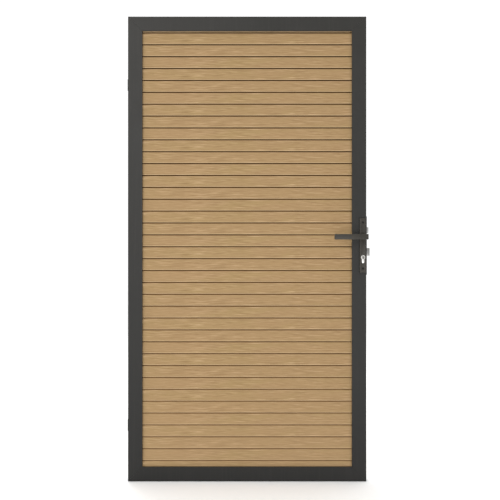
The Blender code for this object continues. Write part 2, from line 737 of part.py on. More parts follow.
def make_follower():
    """The hub that the spindle turns: one arm draws the latch and the other bears the spring."""
    hub = rod(
        "follower", ZINC, "Y", (LOCK_X, LEVER_HEIGHT), HUB_RADIUS,
        -CASE_HALF - HUB_PROUD, CASE_HALF + HUB_PROUD, 24,
    )
    lean = HANDLE_TURN / 2
    tip = (ARM_REACH * math.sin(lean), ARM_REACH * math.cos(lean))
    place = (LOCK_X, 0.0, LEVER_HEIGHT)
    half = ARM_THICK / 2
    latch_arm = outline_solid(
        "follower_latch_arm", [capsule((0.0, 0.0), tip, ARM_TIP)], XZ_PLANE, -half, half, None, place
    )
    spring_arm = outline_solid(
        "follower_spring_arm", [capsule((0.0, 0.0), (-SPRING_ARM, 0.0), ARM_TIP)], XZ_PLANE,
        -half, half, None, place,
    )
    side = SPINDLE / 2 + TOUCH_GAP
    square = block(
        "follower_square", None,
        (LOCK_X - side, LOCK_X + side), (-2 * CASE_HALF, 2 * CASE_HALF),
        (LEVER_HEIGHT - side, LEVER_HEIGHT + side),
    )
    return cut(join(hub, latch_arm, spring_arm), square)


def latch_back():
    arm_side = LOCK_X + ARM_REACH * math.sin(HANDLE_TURN / 2) - ARM_TIP - TOUCH_GAP
    return arm_side - LUG_THICK


def make_latch():
    """The bevelled bolt: its slanted side meets the strike as the gate shuts towards -Y."""
    back = latch_back()
    half = LATCH_THICK / 2
    nose = FACE_OUTER + LATCH_THROW
    low = LATCH_Z - LATCH_TALL / 2
    outline = [
        (back, -half), (FACE_OUTER + LATCH_SHOULDER, -half), (nose, LATCH_TIP * half),
        (nose, half), (back, half),
    ]
    latch = outline_solid("latch_bolt", [outline], XY_PLANE, low, low + LATCH_TALL, NICKEL)
    lug_foot = LEVER_HEIGHT + ARM_REACH * math.cos(HANDLE_TURN / 2) + TOUCH_GAP
    lug = block(
        "latch_lug", None, (back, back + LUG_THICK), (-ARM_THICK / 2, ARM_THICK / 2), (lug_foot, low + LAP)
    )
    pocket = rod(
        "latch_pocket", None, "X", (0.0, LATCH_Z), SPRING_RADIUS + SPRING_WIRE + 2 * TOUCH_GAP,
        back - OVERRUN, back + LATCH_POCKET, 16,
    )
    return cut(join(latch, lug), pocket)


def make_deadbolt():
    """Full height outside the faceplate, and stepped up behind it to clear the turning cam."""
    back = CASE_INNER_BACK + DEADBOLT_THROW + 2 * MOVING_GAP
    nose = FACE_OUTER + DEADBOLT_THROW
    step = FACE_OUTER + TOUCH_GAP
    low = DEADBOLT_TOP - DEADBOLT_TALL
    edge = DEADBOLT_EDGE
    outline = [
        (back, DEADBOLT_BODY_BOTTOM), (step, DEADBOLT_BODY_BOTTOM), (step, low), (nose - edge, low),
        (nose, low + edge), (nose, DEADBOLT_TOP - edge), (nose - edge, DEADBOLT_TOP), (back, DEADBOLT_TOP),
    ]
    half = DEADBOLT_THICK / 2
    return outline_solid("deadbolt", [outline], XZ_PLANE, -half, half, NICKEL)


def coil(name, radius, wire, length, place, per_turn=10):
    """A compression spring along local z, from its foot, as a wire on a helix."""
    curve = bpy.data.curves.new(name, "CURVE")
    curve.dimensions = "3D"
    curve.bevel_depth = wire
    curve.bevel_resolution = 1
    curve.use_fill_caps = True
    spline = curve.splines.new("POLY")
    count = SPRING_TURNS * per_turn
    spline.points.add(count)
    for i in range(count + 1):
        angle = 2 * math.pi * i / per_turn
        height = wire + (length - 2 * wire) * i / count
        spline.points[i].co = (radius * math.cos(angle), radius * math.sin(angle), height, 1.0)
    return add_object(name, curve, SPRING_STEEL, place)


def make_springs():
    foot_x = CASE_INNER_BACK + 2 * TOUCH_GAP
    pocket_end = latch_back() + LATCH_POCKET
    latch_place = Matrix.Translation((foot_x, 0.0, LATCH_Z)) @ AXIS_TURN["X"]
    length = pocket_end - 2 * TOUCH_GAP - foot_x
    latch_spring = coil("latch_spring", SPRING_RADIUS, SPRING_WIRE, length, latch_place)
    foot_z = LEVER_HEIGHT - ARM_TIP - TOUCH_GAP - RETURN_SPRING_LENGTH
    return_place = Matrix.Translation((LOCK_X - SPRING_ARM, 0.0, foot_z))
    length = RETURN_SPRING_LENGTH - TOUCH_GAP
    return_spring = coil("handle_return_spring", RETURN_SPRING_RADIUS, SPRING_WIRE, length, return_place)
    return latch_spring, return_spring


# Profile cylinder

def make_cylinder():
    place = (LOCK_X, 0.0, CYLINDER_Z)
    body = outline_solid(
        "cylinder_body", [euro_outline()], XZ_PLANE, -CYLINDER_HALF, CYLINDER_HALF, NICKEL, place
    )
    bore = rod(
        "cylinder_bore", None, "Y", (LOCK_X, CYLINDER_Z), PLUG_RADIUS + TOUCH_GAP,
        -CYLINDER_HALF - OVERRUN, CYLINDER_HALF + OVERRUN, 24,
    )
    slot = block(
        "cylinder_cam_slot", None,
        (LOCK_X - 2 * CAM_RADIUS, LOCK_X + 2 * CAM_RADIUS), (-CAM_SLOT / 2, CAM_SLOT / 2),
        (CYLINDER_Z - CAM_RADIUS - MOVING_GAP, CYLINDER_Z + CAM_RADIUS),
    )
    screw_hole = rod(
        "cylinder_screw_hole", None, "X", (0.0, CYLINDER_Z - FIXING_SCREW_DROP),
        FIXING_SCREW_RADIUS + TOUCH_GAP, LOCK_X - OVERRUN, LOCK_X + OVERRUN, 16,
    )
    cut(body, bore, slot, screw_hole)
    plugs = []
    for side, sign in (("outside", -1), ("inside", 1)):
        inner, outer = sign * (CAM_SLOT / 2 + TOUCH_GAP), sign * (CYLINDER_HALF + PLUG_PROUD)
        plug = rod(
            f"cylinder_plug_{side}", NICKEL, "Y", (LOCK_X, CYLINDER_Z), PLUG_RADIUS,
            min(inner, outer), max(inner, outer), 24,
        )
        mouth, floor = sign * (CYLINDER_HALF + OVERRUN), sign * (CYLINDER_HALF - KEYWAY_DEEP)
        keyway = block(
            f"keyway_{side}", None, (LOCK_X - KEYWAY_WIDE / 2, LOCK_X + KEYWAY_WIDE / 2),
            (min(mouth, floor), max(mouth, floor)),
            (CYLINDER_Z - KEYWAY_BELOW, CYLINDER_Z - KEYWAY_BELOW + KEYWAY_TALL),
        )
        plugs.append(cut(plug, keyway))
    half = CAM_SLOT / 2 - 2 * TOUCH_GAP
    cam = rod("cylinder_cam", ZINC, "Y", (LOCK_X, CYLINDER_Z), CAM_HUB, -half, half, 24)
    bar = capsule((0.0, 0.0), (0.0, CAM_TIP - CAM_RADIUS), CAM_TIP)
    tooth = outline_solid("cam_tooth", [bar], XZ_PLANE, -half, half, None, place)
    hole = rod("cam_hole", None, "Y", (LOCK_X, CYLINDER_Z), CAM_HOLE, -CAM_SLOT, CAM_SLOT, 16)
    cut(join(cam, tooth), hole)
    return body, plugs[0], plugs[1], cam


# Backplates and levers

def make_backplate(side, sign):
    """A plate with a bevelled face. The inside one has threaded bosses that take the two through screws."""
    inner, outer = sign * PLATE_INNER, sign * PLATE_OUTER
    half_thick = PLATE_THICK / 2
    plate = block(
        f"backplate_{side}", FITTING_COAT,
        (LOCK_X - PLATE_WIDE / 2, LOCK_X + PLATE_WIDE / 2), (min(inner, outer), max(inner, outer)),
        (PLATE_Z - PLATE_TALL / 2, PLATE_Z + PLATE_TALL / 2),
        edges=lambda middle: abs(middle.y - sign * half_thick) < 1e-6, radius=PLATE_BEVEL, segments=2,
    )
    if side == "inside":
        for where, height in plate_screw_heights().items():
            join(plate, rod(
                f"boss_{where}", None, "Y", (LOCK_X, height), BOSS_RADIUS, -BOSS_END, PLATE_INNER + LAP, 16
            ))
    cut(plate, *lock_holes(f"plate_{side}", NECK_RADIUS + TOUCH_GAP, TOUCH_GAP))
    for where, height in plate_screw_heights().items():
        if side == "outside":
            face = (LOCK_X, -PLATE_OUTER, height)
            cut(plate, countersink(f"plate_sink_{where}", "-Y", face, PLATE_SCREW_RADIUS, PLATE_SCREW_HEAD))
        else:
            cut(plate, rod(
                f"boss_bore_{where}", None, "Y", (LOCK_X, height),
                PLATE_SCREW_RADIUS + TOUCH_GAP, -BOSS_END - OVERRUN, PLATE_INNER + 2 * LAP, 16,
            ))
    return plate


def make_plate_screws():
    length = PLATE_OUTER + PLATE_INNER + LAP
    screws = []
    for where, height in plate_screw_heights().items():
        screws.append(countersunk_screw(
            f"plate_screw_{where}", ZINC, "-Y", (LOCK_X, -PLATE_OUTER, height),
            PLATE_SCREW_RADIUS, length, PLATE_SCREW_HEAD, PLATE_SOCKET,
        ))
    return screws


def make_lever(side, sign):
    """A straight bar on a round neck, which turns in the plate and holds the spindle and a grub screw."""
    back, front = sign * LEVER_BACK, sign * LEVER_FRONT
    lever = block(
        f"lever_{side}", FITTING_COAT,
        (LOCK_X - LEVER_REACH, LOCK_X + LEVER_TAIL), (min(back, front), max(back, front)),
        (LEVER_HEIGHT - LEVER_TALL / 2, LEVER_HEIGHT + LEVER_TALL / 2),
        edges=lambda middle: True, radius=LEVER_EDGE, segments=2,
    )
    ends = (sign * PLATE_INNER, sign * (LEVER_BACK + 2 * LAP))
    neck = rod(f"neck_{side}", None, "Y", (LOCK_X, LEVER_HEIGHT), NECK_RADIUS, min(ends), max(ends), 24)
    ends = (sign * (PLATE_OUTER + TOUCH_GAP), sign * (PLATE_OUTER + COLLAR_THICK))
    collar = rod(
        f"collar_{side}", None, "Y", (LOCK_X, LEVER_HEIGHT), COLLAR_RADIUS, min(ends), max(ends), 24
    )
    square = SPINDLE / 2 + TOUCH_GAP
    ends = (sign * (PLATE_INNER - OVERRUN), sign * (SPINDLE_HALF + TOUCH_GAP))
    socket = block(
        f"spindle_socket_{side}", None,
        (LOCK_X - square, LOCK_X + square), (min(ends), max(ends)),
        (LEVER_HEIGHT - square, LEVER_HEIGHT + square),
    )
    grub_y = sign * (PLATE_OUTER + COLLAR_THICK + GRUB_OUT)
    thread = rod(
        f"grub_hole_{side}", None, "Z", (LOCK_X, grub_y), GRUB_RADIUS + TOUCH_GAP,
        LEVER_HEIGHT - 2 * NECK_RADIUS, LEVER_HEIGHT, 12,
    )
    cut(join(lever, neck, collar), socket, thread)
    grub = rod(
        f"lever_grub_screw_{side}", ZINC, "Z", (LOCK_X, grub_y), GRUB_RADIUS,
        LEVER_HEIGHT - NECK_RADIUS + GRUB_SUNK, LEVER_HEIGHT - SPINDLE / 2 - TOUCH_GAP, 12,
    )
    cut(grub, rod(
        f"grub_socket_{side}", None, "Z", (LOCK_X, grub_y), GRUB_SOCKET,
        LEVER_HEIGHT - 2 * NECK_RADIUS, LEVER_HEIGHT - NECK_RADIUS + SOCKET_DEEP, 6,
    ))
    return lever, grub


def make_spindle():
    half = SPINDLE / 2
    return block(
        "spindle", ZINC,
        (LOCK_X - half, LOCK_X + half), (-SPINDLE_HALF, SPINDLE_HALF),
        (LEVER_HEIGHT - half, LEVER_HEIGHT + half),
    )


# Hinges

def make_hinge(where, height):
    """A lift-off hinge behind the stile: the post half carries the pin, the gate half sits on its washer."""
    low, high = height - HINGE_TALL / 2, height + HINGE_TALL / 2
    seat = height - WASHER_THICK - TOUCH_GAP
    axis = (HINGE_X, HINGE_Y)
    clear = BARREL_RADIUS + BARREL_CLEARANCE

    post_half = block(
        f"hinge_post_half_{where}", POWDER_COAT,
        (POST_FACE_X, POST_FACE_X + STRAP_THICK), (HINGE_Y + clear, POST_PLATE_REACH), (low, high),
        edges=lambda middle: abs(middle.x) < 1e-6 and middle.y > 0, radius=HINGE_CORNER, segments=3,
    )
    neck = block(
        f"post_neck_{where}", None,
        (POST_FACE_X, POST_FACE_X + STRAP_THICK), (HINGE_Y, HINGE_Y + clear + LAP), (low, seat),
    )
    barrel = rod(f"post_barrel_{where}", None, "Z", axis, BARREL_RADIUS, low, seat, 24)
    bore = rod(
        f"post_bore_{where}", None, "Z", axis, PIN_RADIUS + TOUCH_GAP, low - OVERRUN, high + OVERRUN, 24
    )
    join(post_half, neck, barrel)
    cut(post_half, bore)
    plate_y = (HINGE_Y + clear + POST_PLATE_REACH) / 2
    for number, lift in enumerate((-1, 1)):
        face = (POST_FACE_X + STRAP_THICK, plate_y, height + lift * HINGE_SCREW_SPACING / 2)
        cut(post_half, countersink(
            f"post_sink_{where}_{number}", "X", face, HINGE_SCREW_RADIUS, HINGE_SCREW_HEAD
        ))

    strap_front = HALF_DEPTH + TOUCH_GAP
    strap_start = HINGE_X + BARREL_RADIUS + BARREL_CLEARANCE
    gate_half = block(
        f"hinge_gate_half_{where}", POWDER_COAT,
        (strap_start, strap_start + STRAP_WIDE), (strap_front, strap_front + STRAP_THICK), (low, high),
        edges=lambda middle: abs(middle.y) < 1e-6 and middle.x > 0, radius=HINGE_CORNER, segments=3,
    )
    gate_low = height
    neck = block(
        f"gate_neck_{where}", None,
        (HINGE_X, strap_start + LAP), (strap_front, strap_front + STRAP_THICK), (gate_low, high),
    )
    barrel = rod(f"gate_barrel_{where}", None, "Z", axis, BARREL_RADIUS, gate_low, high, 24)
    bore = rod(f"gate_bore_{where}", None, "Z", axis, PIN_RADIUS + TOUCH_GAP, low, high + OVERRUN, 24)
    join(gate_half, neck, barrel)
    cut(gate_half, bore)
    screws = []
    for name, lift in (("a", -1), ("b", 1)):
        face = (HINGE_SCREW_X, strap_front + STRAP_THICK, height + lift * HINGE_SCREW_SPACING / 2)
        sink = countersink(f"gate_sink_{where}_{name}", "Y", face, HINGE_SCREW_RADIUS, HINGE_SCREW_HEAD)
        cut(gate_half, sink)
        screws.append(countersunk_screw(
            f"hinge_screw_{where}_{name}", ZINC, "Y", face, HINGE_SCREW_RADIUS, HINGE_SCREW_LENGTH,
            HINGE_SCREW_HEAD, HINGE_SOCKET,
        ))

    foot = low - PIN_HEAD - TOUCH_GAP
    top = high - PIN_SHORT
    pin_profile = [
        (0.0, top), (PIN_RADIUS - PIN_CHAMFER, top), (PIN_RADIUS, top - PIN_CHAMFER),
        (PIN_RADIUS, low - TOUCH_GAP),
        (BARREL_RADIUS, low - TOUCH_GAP), (BARREL_RADIUS, foot), (0.0, foot),
    ]
    pin = turned(f"hinge_pin_{where}", STAINLESS, pin_profile, "Z", (*axis, 0.0), 24)
    ring = [
        (PIN_RADIUS + TOUCH_GAP, seat + TOUCH_GAP), (PIN_RADIUS + TOUCH_GAP, height - TOUCH_GAP),
        (BARREL_RADIUS, height - TOUCH_GAP), (BARREL_RADIUS, seat + TOUCH_GAP),
        (PIN_RADIUS + TOUCH_GAP, seat + TOUCH_GAP),
    ]
    washer = turned(f"hinge_washer_{where}", BRASS, ring, "Z", (*axis, 0.0), 24)
    return (post_half, pin, washer), (gate_half, *screws)


def cut_hinge_stile(stile):
    for where, height in HINGE_HEIGHTS.items():
        for name, lift in (("a", -1), ("b", 1)):
            cut(stile, rod(
                f"stile_hinge_hole_{where}_{name}", None, "Y",
                (HINGE_SCREW_X, height + lift * HINGE_SCREW_SPACING / 2),
                HINGE_SCREW_RADIUS + TOUCH_GAP, HALF_DEPTH - PROFILE_WALL - LAP, HALF_DEPTH + OVERRUN, 16,
            ))


# Assembly

def main():
    hinge_stile, lock_stile, top_rail, bottom_rail = make_frame()
    cut_lock_stile(lock_stile)
    cut_hinge_stile(hinge_stile)
    leaf = [hinge_stile, lock_stile, top_rail, bottom_rail, *make_cleats(), *make_boards()]
    for where, height in HINGE_HEIGHTS.items():
        leaf += make_hinge(where, height)[1]

    follower = make_follower()
    latch = make_latch()
    deadbolt = make_deadbolt()
    body, plug_outside, plug_inside, cam = make_cylinder()
    leaf += [*make_lock_case(), make_faceplate(), *make_faceplate_screws(), *make_springs(), body]
    leaf += [make_backplate("outside", -1), make_backplate("inside", 1), *make_plate_screws()]
    handle = [*make_lever("outside", -1), *make_lever("inside", 1), make_spindle(), follower]

    hang_on("gate_swing_axis", (HINGE_X, HINGE_Y, 0.0), leaf)
    hang_on("handle_axis", (LOCK_X, 0.0, LEVER_HEIGHT), handle)
    hang_on("latch_slide_axis", (LOCK_X, 0.0, LATCH_Z), [latch])
    hang_on("deadbolt_slide_axis", (LOCK_X, 0.0, DEADBOLT_TOP - DEADBOLT_TALL / 2), [deadbolt])
    hang_on("cylinder_axis_outside", (LOCK_X, 0.0, CYLINDER_Z), [plug_outside, cam])
    hang_on("cylinder_axis_inside", (LOCK_X, 0.0, CYLINDER_Z), [plug_inside])


main()
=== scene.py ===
import json
import math

import bmesh
import bpy
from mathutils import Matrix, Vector

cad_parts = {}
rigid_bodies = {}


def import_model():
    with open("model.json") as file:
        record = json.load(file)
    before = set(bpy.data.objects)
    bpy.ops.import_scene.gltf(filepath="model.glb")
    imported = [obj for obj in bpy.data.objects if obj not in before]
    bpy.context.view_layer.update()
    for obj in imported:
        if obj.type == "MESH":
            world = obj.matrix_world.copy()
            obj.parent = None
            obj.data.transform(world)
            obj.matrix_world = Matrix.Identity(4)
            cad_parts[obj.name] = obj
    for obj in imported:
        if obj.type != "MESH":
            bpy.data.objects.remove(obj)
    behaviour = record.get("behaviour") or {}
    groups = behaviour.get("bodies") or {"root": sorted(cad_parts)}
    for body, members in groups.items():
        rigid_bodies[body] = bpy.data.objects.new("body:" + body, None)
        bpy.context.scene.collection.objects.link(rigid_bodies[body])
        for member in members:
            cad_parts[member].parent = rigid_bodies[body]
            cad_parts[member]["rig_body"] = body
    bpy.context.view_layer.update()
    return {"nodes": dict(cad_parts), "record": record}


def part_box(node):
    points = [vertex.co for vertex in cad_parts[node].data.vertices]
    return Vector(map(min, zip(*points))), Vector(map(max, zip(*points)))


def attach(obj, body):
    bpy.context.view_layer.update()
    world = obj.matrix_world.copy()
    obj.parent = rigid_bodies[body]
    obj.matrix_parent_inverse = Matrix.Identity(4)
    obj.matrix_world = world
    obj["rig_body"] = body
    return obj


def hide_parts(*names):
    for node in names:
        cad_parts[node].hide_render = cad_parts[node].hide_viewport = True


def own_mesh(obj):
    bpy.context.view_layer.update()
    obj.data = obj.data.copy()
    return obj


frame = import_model()
nodes = frame["nodes"]
slotOf = {subpart["node"]: subpart["material_slot"] for subpart in frame["record"]["subparts"]}
print("gate loaded:", len(nodes), "CAD nodes")


def gateBox(*names):
    # lowest and highest corner of several CAD nodes taken together
    corners = [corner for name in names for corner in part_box(name)]
    low = Vector([min(corner[i] for corner in corners) for i in range(3)])
    high = Vector([max(corner[i] for corner in corners) for i in range(3)])
    return low, high


leafLow, leafHigh = gateBox("hinge_stile", "lock_stile", "top_rail", "bottom_rail")
leafTall = leafHigh.z - leafLow.z

cameraSet = {
    "distance": 3.0,       # from the outside face of the leaf
    "widthSeen": 2.097,    # width of the view at that face
    "sideways": 0.012,     # right of the middle of the leaf
    "height": 0.9705,      # of the level lens above the ground
    "sensor": 36.0,
}


def makeCamera(settings):
    data = bpy.data.cameras.new("gateCamera")
    data.sensor_width = settings["sensor"]
    data.lens = settings["sensor"] * settings["distance"] / settings["widthSeen"]
    camera = bpy.data.objects.new("gateCamera", data)
    bpy.context.scene.collection.objects.link(camera)
    across = (leafLow.x + leafHigh.x) / 2 + settings["sideways"]
    camera.location = (across, leafLow.y - settings["distance"], settings["height"])
    camera.rotation_euler = (math.radians(90), 0, 0)
    bpy.context.scene.camera = camera


makeCamera(cameraSet)
bpy.context.scene.view_settings.view_transform = "Standard"
print("camera placed")


def fromHex(text):
    # an sRGB hex colour as the linear colour that the shader takes
    channels = [int(text[i:i + 2], 16) / 255 for i in (1, 3, 5)]
    linear = [c / 12.92 if c <= 0.04045 else ((c + 0.055) / 1.055) ** 2.4 for c in channels]
    return (*linear, 1.0)


def addNode(tree, kind, inputs=None, settings=None, stops=()):
    # one node with its settings, its sockets linked or set, and the (place, hex colour) stops of a ramp
    node = tree.nodes.new(kind)
    for name, value in (settings or {}).items():
        setattr(node, name, value)
    for name, value in (inputs or {}).items():
        if isinstance(value, bpy.types.Node):
            value = next(output for output in value.outputs if output.enabled)
        if isinstance(value, bpy.types.NodeSocket):
            tree.links.new(value, node.inputs[name])
        else:
            node.inputs[name].default_value = value
    if stops:
        marks = node.color_ramp.elements
        while len(marks) < len(stops):
            marks.new(1.0)
        for mark, (where, colour) in zip(marks, stops):
            mark.position = where
            mark.color = fromHex(colour)
    return node


def startMaterial(name):
    # an empty material, and the object's own coordinates to draw on
    material = bpy.data.materials.new(name)
    material.use_nodes = True
    tree = material.node_tree
    tree.nodes.clear()
    place = addNode(tree, "ShaderNodeTexCoord").outputs["Object"]
    return material, tree, place


def perMillimetre(size):
    # a pattern scale whose lumps are about this many millimetres across
    return 1000 / size


# polyester powder coat, sprayed and baked on aluminium profile: satin, faintly pebbled, never quite even
powderCoat = {
    "dark": "#161615",
    "light": "#1D1C1B",
    "chalk": "#54524D",      # painted light: the coat drawn paler higher up, as if lit from above
    "chalkTop": 0.20,        # share of it at the top of the leaf
    "cloud": 260,            # mm across one soft patch
    "cloudStops": (0.35, 0.68),
    "peel": 3.2,             # mm, real lumps are about 1 mm and too fine to show
    "peelDeep": 0.00012,
    "speck": 1.1,            # mm between two specks of dust
    "speckReach": 0.9,
    "dust": "#4A4843",
    "dustInSpecks": 0.10,
    "rainTall": 420,         # mm, faint marks where rain has run down
    "rainWide": 9,
    "rainStops": (0.52, 0.72),
    "rainAmount": 0.09,
    "roughness": (0.40, 0.58),
    "specular": 0.30,
}


def makePowderCoat(name, settings):
    material, tree, place = startMaterial(name)
    cloud = addNode(tree, "ShaderNodeTexNoise", {
        "Vector": place, "Scale": perMillimetre(settings["cloud"]), "Detail": 4.0, "Roughness": 0.6})
    tone = addNode(tree, "ShaderNodeValToRGB", {"Fac": cloud}, stops=[
        (settings["cloudStops"][0], settings["dark"]), (settings["cloudStops"][1], settings["light"])])
    speck = addNode(tree, "ShaderNodeTexVoronoi", {
        "Vector": place, "Scale": perMillimetre(settings["speck"])})
    speckShare = addNode(tree, "ShaderNodeMapRange", {
        "Value": speck, "From Min": 0.0, "From Max": settings["speckReach"],
        "To Min": settings["dustInSpecks"], "To Max": 0.0})
    wide, tall = perMillimetre(settings["rainWide"]), perMillimetre(settings["rainTall"])
    drawn = addNode(tree, "ShaderNodeVectorMath", {
        0: place, 1: (wide, wide, tall)}, {"operation": "MULTIPLY"})
    rain = addNode(tree, "ShaderNodeTexNoise", {
        "Vector": drawn, "Scale": 1.0, "Detail": 4.0, "Roughness": 0.6})
    rainShare = addNode(tree, "ShaderNodeMapRange", {
        "Value": rain, "From Min": settings["rainStops"][0], "From Max": settings["rainStops"][1],
        "To Min": 0.0, "To Max": settings["rainAmount"]})
    height = addNode(tree, "ShaderNodeSeparateXYZ", {"Vector": place}).outputs["Z"]
    # painted light: the coat paler towards the top of the leaf, standing in for light from above
    topLightShare = addNode(tree, "ShaderNodeMapRange", {
        "Value": height, "From Min": leafLow.z, "From Max": leafHigh.z,
        "To Min": 0.0, "To Max": settings["chalkTop"]})
    for share, colour in ((speckShare, "dust"), (rainShare, "dust"), (topLightShare, "chalk")):
        tone = addNode(tree, "ShaderNodeMix", {
            "Factor": share, 6: tone, 7: fromHex(settings[colour])}, {"data_type": "RGBA"})
    rough = addNode(tree, "ShaderNodeMapRange", {
        "Value": cloud, "From Min": 0.3, "From Max": 0.7,
        "To Min": settings["roughness"][0], "To Max": settings["roughness"][1]})
    peel = addNode(tree, "ShaderNodeTexNoise", {
        "Vector": place, "Scale": perMillimetre(settings["peel"]), "Detail": 3.0, "Roughness": 0.55})
    bump = addNode(tree, "ShaderNodeBump", {
        "Height": peel, "Strength": 0.6, "Distance": settings["peelDeep"]})
    shader = addNode(tree, "ShaderNodeBsdfPrincipled", {
        "Base Color": tone, "Roughness": rough, "Normal": bump, "Specular IOR Level": settings["specular"]})
    addNode(tree, "ShaderNodeOutputMaterial", {"Surface": shader})
    return material


# wood-grain decor on extruded boards: fine printed streaks under a matt coat, the same film on every board
boardGrain = {
    "body": "#9C8059",
    "bodyWarm": "#9D805A",
    "bodyOlive": "#9B8157",
    "streakDark": "#806340",
    "streakLight": "#C2A47E",
    "patterns": {            # mm long, mm tall, detail, distortion
        "tint": (330, 60, 2.0, 0.3),        # slow drift of the print's tint along a board
        "cluster": (120, 20, 2.0, 0.5),
        "streak": (80, 3.4, 2.0, 0.35),     # real lines are under 1 mm and too fine to show
        "pore": (26, 1.3, 1.0, 0.0),
        "fibre": (40, 0.7, 1.0, 0.2),
    },
    "clusterStops": (0.40, 0.58),
    "layers": [              # pattern, where it starts and is full, its share, its colour, only in clusters
        ("streak", 0.50, 0.36, 0.50, "streakDark", True),
        ("streak", 0.52, 0.66, 0.60, "streakLight", True),
        ("pore", 0.40, 0.26, 0.30, "streakDark", False),
        ("fibre", 0.46, 0.30, 0.28, "streakDark", False),
        ("fibre", 0.54, 0.70, 0.28, "streakLight", False),
    ],
    "cover": 0.150,          # one board
    "pitch": 0.050,          # one rib and its groove
    "opening": 0.005,        # of a groove
    "lipRise": 0.0003,       # foot of a board above the groove's upper lip
    "lip": "#CDAF88",        # painted highlight along the rib's lower edge
    "lipAmount": 0.5,
    "lipTall": 0.0036,
    "lipFull": 0.00198,      # height up to which the painted highlight is full
    "lipUnder": 0.0004,
    "grooveShade": "#2B1400",
    "grooveFloor": "#84551A",
    "grooveFrom": 0.0002,    # where the shade starts and is full, from the board's face
    "grooveDeep": 0.0042,
    "hangingFrom": 0.0032,   # the overhang's shade, below the groove's upper lip
    "hangingFull": 0.0012,
    "dust": "#C9A981",       # painted light: the boards and their grooves drawn paler towards the bottom
    "dustTop": 0.45,         # how high it reaches on the face of the boards
    "dustOnFace": 0.15,
    "dustTopInGrooves": 1.1,
    "dustInGrooves": 0.40,
    "reliefDeep": 0.00015,
    "roughness": (0.60, 0.76),
    "specular": 0.25,
}


